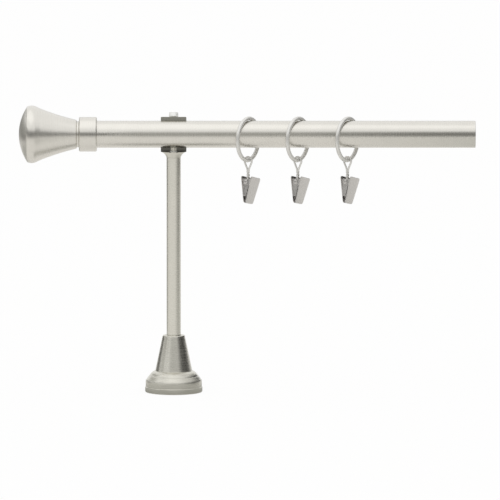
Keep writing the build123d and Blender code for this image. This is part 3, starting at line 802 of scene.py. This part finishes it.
class CURTAINROD_OT_clips(bpy.types.Operator):
    """Sprung clips: leaves, pins and springs"""

    bl_idname = "curtain_rod.clips"
    bl_label = "Sprung clips"

    def execute(self, context):
        settings = context.scene.curtain_rod
        sizes, metal = settings.clip, satin_metal(settings.finish, "clip_sheet_nickel")
        front_leaf = self.leaf(sizes, 1, sizes.front_ear, sizes.tooth_gaps)
        rear_leaf = self.leaf(sizes, -1, sizes.rear_ear, sizes.tooth_gaps + 1)
        pin, spring = [self.pin(sizes)], [self.spring(sizes)]
        for number in ring_numbers:
            pin_centre, pin_way = pivot_of(f"clip_{number}_swing")
            facing = ring_plane(number)[2]
            directions = (facing, np.cross(-pin_way, facing), -pin_way)
            clip, jaw = f"clip_{number}", f"jaw_{number}"
            rear_end = pin_centre - pin_way * (sizes.spring_last - sizes.spring_wire)
            front_end = pin_centre - pin_way * (sizes.spring_first + sizes.spring_wire)
            for name, shells, body, twist in (
                ("clip_front_leaf", front_leaf, jaw, None),
                ("clip_rear_leaf", rear_leaf, clip, None),
                ("clip_pin", pin, clip, None),
                ("clip_spring", spring, clip, (jaw, rear_end, front_end)),
            ):
                make_piece(
                    f"{name}_formed_{number}", placed(shells, pin_centre, directions), metal,
                    body, f"{name}_{number}", twist,
                )
        return {"FINISHED"}

    def leaf(self, sizes, side, ear_end, gaps):
        """A bent sheet and its two ears. The sheet is a flat rounded section carried down the
        leaf's slope and round the bend into the lip; its half width falls from top to bottom, and
        near each end by the corner's circle. In the gaps between teeth the lip's last row stands
        back."""
        half_sheet = sizes.sheet / 2
        height = sizes.lever + sizes.jaw
        top = np.array([sizes.top_spread / 2 - half_sheet, sizes.lever])
        foot = np.array([sizes.bottom_spread / 2 - half_sheet, half_sheet - sizes.jaw])
        tip = np.array([sizes.jaw_gap / 2, half_sheet - sizes.jaw])
        corner_end, plain_start = 0.12, 0.15
        corner_rows = np.linspace(0.0, corner_end, num=10)
        plain_rows = np.linspace(plain_start, 1.0, num=12)
        rows = np.concatenate([corner_rows, plain_rows])[:, None]
        bent = np.vstack([top + rows * (foot - top), tip])
        path = soften(bent, sizes.bend, closed=False, steps=3)
        forward = unit(np.gradient(path, axis=0))
        outward = stacked(-forward[:, 1], forward[:, 0])
        down = (sizes.lever - path[:, 1]) / height
        half_width = (sizes.top_width + (sizes.bottom_width - sizes.top_width) * down) / 2
        half_width = half_width - self.corner_loss(sizes.lever - path[:, 1], sizes.corner)
        half_width = half_width - self.corner_loss(sizes.jaw + path[:, 1], sizes.corner)
        around = circle(160)
        evenness, squareness = 0.9, 0.25
        flat = np.sign(np.cos(around)) * np.abs(np.cos(around)) ** evenness
        thick = half_sheet * np.sign(np.sin(around)) * np.abs(np.sin(around)) ** squareness
        width = half_width[:, None] * flat
        x = path[:, :1] + outward[:, :1] * thick
        y = path[:, 1:] + outward[:, 1:] * thick
        pitch, gap_share = 2 * sizes.tooth, 0.5
        place = width[-1] / pitch + gaps / 2
        near_gap = np.abs(place - np.floor(place) - 0.5) < gap_share / 2
        in_gap = near_gap & (np.abs(width[-1]) < gaps * sizes.tooth)
        x[-1] = x[-1] + sizes.tooth_depth * in_gap
        sheet = shell(stacked(side * x, y, width), ring=False)
        outline = self.ear_outline(sizes, with_cheek=side < 0)
        ends = (ear_end - half_sheet, half_sheet - ear_end)
        return [sheet, *(self.ear(sizes, side, end, *outline) for end in ends)]

    def corner_loss(self, distance, radius):
        """How much a rounded corner takes off the half width at a distance from the edge: the
        radius less the chord of its circle there."""
        inside = np.clip(radius - distance, 0.0, radius)
        return radius - np.sqrt(radius**2 - inside**2)

    def ear_outline(self, sizes, with_cheek):
        """Angles round the pin and the outline's distance there. It is the larger of the ear's
        radius, the web (the nearer of its own height and the leaf) and the cheek (the nearest of
        its lower edge, its front edge and the leaf)."""
        half_sheet = sizes.sheet / 2
        slope = (sizes.top_spread - sizes.bottom_spread) / 2 / (sizes.lever + sizes.jaw)
        leaf_x = sizes.top_spread / 2 - slope * sizes.lever - half_sheet
        angle = circle(240)
        tiny = 1e-6
        to_leaf = leaf_x / np.maximum(np.cos(angle) - slope * np.sin(angle), tiny)
        web = np.minimum(sizes.ear / np.maximum(np.abs(np.sin(angle)), tiny), to_leaf)
        outline = np.where(np.cos(angle) > 0.0, np.maximum(sizes.ear, web), sizes.ear)
        if with_cheek:
            down = np.maximum(-np.sin(angle), tiny)
            front_slope = (sizes.ear - sizes.cheek_tip) / sizes.cheek_drop
            to_front = sizes.ear / np.maximum(front_slope * down - np.cos(angle), tiny)
            cheek = np.minimum(sizes.cheek_drop / down, np.minimum(to_front, to_leaf))
            outline = np.where(np.sin(angle) < 0.0, np.maximum(outline, cheek), outline)
        return angle, outline

    def ear(self, sizes, side, middle, angle, outline):
        """A plate round the pin's hole. Each row of the closed section mixes the hole's radius and
        the outline, less an inset that rounds the rim; the upper half mirrors the lower one."""
        half_sheet, edge = sizes.sheet / 2, sizes.ear_edge
        hole = sizes.pin / 2 + sizes.pin_slip
        rounding = 0.3
        mix = np.array([0.0, 1.0, 1.0, 1.0])
        inset = np.array([0.0, 1.0, rounding, 0.0]) * edge
        low = np.array([0.0, 0.0, rounding, 1.0]) * edge - half_sheet
        mix = np.concatenate([mix, mix[::-1]])[:, None]
        inset = np.concatenate([inset, inset[::-1]])[:, None]
        height = np.concatenate([low, -low[::-1]])[:, None]
        radius = hole + mix * (outline - hole) - inset
        grid = stacked(side * radius * np.cos(angle), radius * np.sin(angle), middle + height)
        return shell(grid, ring=True)

    def pin(self, sizes):
        """A bar with a low domed head at each end, turned about the pin's axis."""
        radius, head = sizes.pin / 2, sizes.pin_head / 2
        inner = sizes.front_ear + sizes.head_gap
        outer = inner + sizes.pin_head_height
        slope_share, flat_share = 0.4, 0.6
        shoulder = outer - sizes.pin_head_height * slope_share
        flat = head * flat_share
        pin_near_axis, rounding = 0.00002, 0.00018
        half = np.array([
            (outer, pin_near_axis), (outer, flat), (shoulder, head), (inner, head), (inner, radius),
        ])
        profile = soften(np.vstack([half, half[::-1] * (-1, 1)]), rounding, closed=False)
        return turned(profile, np.zeros(3), z_axis, x_axis, ring=False, segments=32)

    def spring(self, sizes):
        """A close coil: the angle falls evenly as the wire moves along the pin, and straight legs
        lean out from both ends to the leaves."""
        count = 220
        angle = -2 * np.pi * np.linspace(0.0, sizes.spring_turns, count)
        along = np.linspace(sizes.spring_first, sizes.spring_last, count)
        radius = sizes.spring_radius
        coil = stacked(radius * np.cos(angle), radius * np.sin(angle), along)
        first_rise, growth = 0.06, 1.6
        rise = np.linspace(1.0, first_rise, num=12)
        lean = (sizes.spring_reach - radius) * rise**growth
        first = coil[0] + stacked(lean, sizes.spring_leg * rise, 0.0)
        last = coil[-1] + stacked(-lean, sizes.spring_leg * rise, 0.0)[::-1]
        path = np.vstack([first, coil, last])
        return wire(path, sizes.spring_wire / 2, z_axis, closed=False, sides=10)


class CURTAINROD_OT_stage(bpy.types.Operator):
    """Floor, light and camera"""

    bl_idname = "curtain_rod.stage"
    bl_label = "Stage"

    def execute(self, context):
        settings = context.scene.curtain_rod.stage
        context.scene.view_settings.view_transform = "Standard"
        self.make_world(context.scene, settings)
        self.make_floor(settings)
        self.make_lamps(settings)
        self.make_cards()
        self.make_camera(context.scene, settings)
        return {"FINISHED"}

    def make_world(self, scene, settings):
        """White as the camera, a mirror or glass sees it, and a plain strength as light."""
        world = bpy.data.worlds.new("studio")
        scene.world = world
        nodes = Nodes(world)
        ray = nodes.add("ShaderNodeLightPath").outputs
        straight = nodes.math("MAXIMUM", ray["Is Camera Ray"], ray["Is Glossy Ray"])
        seen = nodes.math("MAXIMUM", straight, ray["Is Transmission Ray"])
        light, white = (
            nodes.add("ShaderNodeBackground", {"Color": (1, 1, 1, 1), "Strength": strength})
            for strength in (settings.world, 1.0)
        )
        mixed = nodes.mix(seen, light.outputs[0], white.outputs[0])
        nodes.add("ShaderNodeOutputWorld", {"Surface": mixed})

    def make_floor(self, settings):
        """A wide pale floor. The camera sees it mixed with white and mirrors see it mixed with its
        mirrored tone, so that it still keeps the shadow; from below it is clear."""
        half = 6.0
        floor = self.sheet(
            "floor", [(-half, -half, 0), (half, -half, 0), (half, half, 0), (-half, half, 0)]
        )
        material = bpy.data.materials.new("floor_paper")
        nodes = Nodes(material)
        ray = nodes.add("ShaderNodeLightPath").outputs
        paper = nodes.add("ShaderNodeBsdfDiffuse", {"Color": (*settings.floor, 1.0)})
        straight = nodes.math("MULTIPLY", ray["Is Camera Ray"], settings.whiteness)
        bounced = nodes.math("MULTIPLY", ray["Is Glossy Ray"], settings.mirrored_share)
        seen = nodes.mix(straight, paper.outputs[0], nodes.glow((1, 1, 1)))
        shown = nodes.mix(bounced, seen, nodes.glow(settings.mirrored))
        below = nodes.add("ShaderNodeNewGeometry").outputs["Backfacing"]
        mixed = nodes.mix(below, shown, nodes.clear())
        nodes.add("ShaderNodeOutputMaterial", {"Surface": mixed})
        floor.data.materials.append(material)

    def sheet(self, name, corners):
        """A flat object with four corners."""
        mesh = bpy.data.meshes.new(name)
        mesh.from_pydata([tuple(c) for c in corners], [], [(0, 1, 2, 3)])
        return add_object(name, mesh)

    def make_lamps(self, settings):
        """A large softbox over the rod and a smaller one at the left front."""
        for name, power, extent, place, target in (
            ("softbox", settings.softbox, (1.3, 0.9), (-0.25, -0.15, 1.15), (-0.05, 0.0, 0.15)),
            ("fill", settings.fill, (0.5, 0.9), (-1.0, -1.1, 0.75), (0.0, 0.0, 0.1)),
        ):
            data = bpy.data.lights.new(name, "AREA")
            data.shape = "RECTANGLE"
            data.size, data.size_y = extent
            data.energy = power
            lamp = add_object(name, data)
            lamp.location = place
            way = Vector(target) - Vector(place)
            lamp.rotation_euler = way.to_track_quat("-Z", "Y").to_euler()
            lamp.visible_camera = False

    def make_cards(self):
        """Dark cards that only mirrors see: strips close along the rod's front and back, the dim
        room at the front, the right and the left, and the shade on the floor round the base. Each
        has its middle, its width and height, its shade and its core."""
        facing_front, facing_side = 0.0, radians(90.0)
        for name, place, extent, shade, core in (
            ("front_strip", (0.18, -0.06, 0.1895), (0.46, 0.062), 0.38, (0.9, 0.2)),
            ("front_strip_left", (-0.11, -0.065, 0.1895), (0.16, 0.042), 0.15, (0.75, 0.2)),
            ("front_strip_right", (0.26, -0.055, 0.1895), (0.40, 0.056), 0.20, (0.3, 0.2)),
            ("back_strip", (0.05, 0.06, 0.1895), (0.70, 0.062), 0.30, (0.9, 0.2)),
            ("front_flag", (0.3, -1.5, 0.48), (3.3, 0.36), 0.24, (0.6, 0.5)),
            ("front_low_strip", (0.0, -0.056, 0.002), (0.16, 0.009), 0.42, (0.7, 0.6)),
        ):
            self.flag(name, place, extent, facing_front, shade, core)
        for name, place, extent, shade, core in (
            ("right_flag", (0.8, -0.33, 0.36), (2.24, 0.60), 0.0, (0.05, 0.7)),
            ("right_rear_flag", (0.79, 0.35, 0.295), (1.1, 0.47), 0.0, (0.8, 0.9)),
            ("right_back_flag", (0.78, 1.05, 0.30), (0.8, 0.44), 0.0, (0.6, 0.85)),
            ("right_lower_flag", (0.79, -0.2, 0.03), (1.2, 0.10), 0.45, (0.4, 0.6)),
            ("left_flag", (-0.9, 0.90, 0.11), (1.5, 0.56), 0.06, (0.6, 0.15)),
            ("left_middle_flag", (-0.88, -0.05, 0.30), (0.8, 0.34), 0.30, (0.4, 0.6)),
            ("left_high_flag", (-0.85, 0.80, 0.68), (1.4, 0.50), 0.45, (0.5, 0.5)),
            ("right_high_flag", (0.85, 0.90, 0.80), (1.4, 0.50), 0.45, (0.5, 0.5)),
            ("left_front_flag", (-0.45, -0.32, 0.28), (0.40, 0.20), 0.05, (0.6, 0.6)),
            ("left_low_strip", (-0.056, -0.02, 0.002), (0.10, 0.009), 0.55, (0.7, 0.6)),
            ("right_low_strip", (0.056, -0.02, 0.002), (0.10, 0.009), 0.42, (0.7, 0.6)),
        ):
            self.flag(name, place, extent, facing_side, shade, core)
        for name, middle, half, shade, core in (
            ("floor_shade", (0.0, 0.0), (0.058, 0.058), 0.42, 0.4),
            ("left_floor_shade", (-0.42, 0.40), (0.34, 0.36), 0.46, 0.5),
            ("right_floor_shade", (0.50, -0.12), (0.42, 0.45), 0.58, 0.5),
        ):
            self.patch(name, middle, half, shade, core)

    def flag(self, name, place, extent, heading, shade, core):
        """An upright card: a flat grid of four points turned about the vertical."""
        place = np.array(place)
        across = np.array([cos(heading), sin(heading), 0.0]) * extent[0] / 2
        rise = z_axis * extent[1] / 2
        left, right = place - across, place + across
        corners = [left - rise, right - rise, right + rise, left + rise]
        half = (extent[0] / 2, 1.0, extent[1] / 2)
        self.card(name, corners, place, half, heading, shade, (core[0], 1.0, core[1]))

    def patch(self, name, middle, half, shade, core):
        """A card that lies on the floor."""
        lift = 0.0005
        x, y = middle
        wide, deep = half
        corners = [(x - wide, y - deep, lift), (x + wide, y - deep, lift)]
        corners += [(x + wide, y + deep, lift), (x - wide, y + deep, lift)]
        self.card(name, corners, (x, y, lift), (wide, deep, 1.0), 0.0, shade, (core, core, 1.0))

    def card(self, name, corners, place, half, heading, shade, core):
        """A four-cornered card in an even shade. Along each direction it thins out from its core,
        a share of its half size, to nothing at the rim; the shares along the directions
        multiply."""
        card = self.sheet(name, corners)
        material = bpy.data.materials.new(name)
        nodes = Nodes(material)
        local = nodes.add(
            "ShaderNodeMapping",
            {
                "Vector": nodes.add("ShaderNodeTexCoord").outputs["Object"],
                "Location": tuple(place), "Rotation": (0.0, 0.0, heading), "Scale": half,
            },
            vector_type="TEXTURE",
        )
        away = nodes.add(
            "ShaderNodeVectorMath", {0: local.outputs["Vector"]}, operation="ABSOLUTE"
        )
        part = nodes.parts(away.outputs["Vector"])
        cover = 1.0
        for direction, inner in zip("XYZ", core):
            if inner < 1.0:
                thinned = nodes.remap(part[direction], inner, 1.0, 1.0, 0.0, "SMOOTHSTEP")
                cover = nodes.math("MULTIPLY", thinned, cover)
        warmth = 0.95
        dark = nodes.glow((shade, shade, shade * warmth))
        mixed = nodes.mix(cover, nodes.clear(), dark)
        nodes.add("ShaderNodeOutputMaterial", {"Surface": mixed})
        card.data.materials.append(material)
        card.visible_camera = False
        card.visible_diffuse = False
        card.visible_shadow = False
        card.visible_transmission = False

    def make_camera(self, scene, settings):
        """Level in the picture, a little above the aim and looking down at it."""
        data = bpy.data.cameras.new("camera")
        data.sensor_width = 36.0
        data.lens = settings.lens
        data.clip_start, data.clip_end = 0.05, 50.0
        camera = add_object("camera", data)
        aim = np.array(settings.aim)
        back = np.array([0.0, -cos(settings.elevation), sin(settings.elevation)])
        camera.location = aim + back * settings.distance
        camera.rotation_euler = (radians(90.0) - settings.elevation, 0.0, 0.0)
        scene.camera = camera


class CURTAINROD_PT_panel(bpy.types.Panel):
    """Lists the operators in the sidebar"""

    bl_idname = "CURTAINROD_PT_panel"
    bl_label = "Curtain rod"
    bl_space_type = "VIEW_3D"
    bl_region_type = "UI"
    bl_category = "Curtain rod"

    def draw(self, context):
        for operator in operators:
            self.layout.operator(operator.bl_idname)


groups = (
    RodSizes, FinialSizes, RingSizes, ClipSizes, Finishes, StageSettings, CurtainRodSettings,
)
operators = (
    CURTAINROD_OT_tube,
    CURTAINROD_OT_finial,
    CURTAINROD_OT_bracket,
    CURTAINROD_OT_screws,
    CURTAINROD_OT_rings,
    CURTAINROD_OT_links,
    CURTAINROD_OT_clips,
    CURTAINROD_OT_stage,
)


def register():
    for item in (*groups, *operators, CURTAINROD_PT_panel):
        bpy.utils.register_class(item)
    bpy.types.Scene.curtain_rod = PointerProperty(type=CurtainRodSettings)


def unregister():
    del bpy.types.Scene.curtain_rod
    for item in reversed((*groups, *operators, CURTAINROD_PT_panel)):
        bpy.utils.unregister_class(item)


def main():
    register()
    bpy.ops.curtain_rod.tube()
    bpy.ops.curtain_rod.finial()
    bpy.ops.curtain_rod.bracket()
    bpy.ops.curtain_rod.screws()
    bpy.ops.curtain_rod.rings()
    bpy.ops.curtain_rod.links()
    bpy.ops.curtain_rod.clips()
    bpy.ops.curtain_rod.stage()


if __name__ == "__main__":
    main()
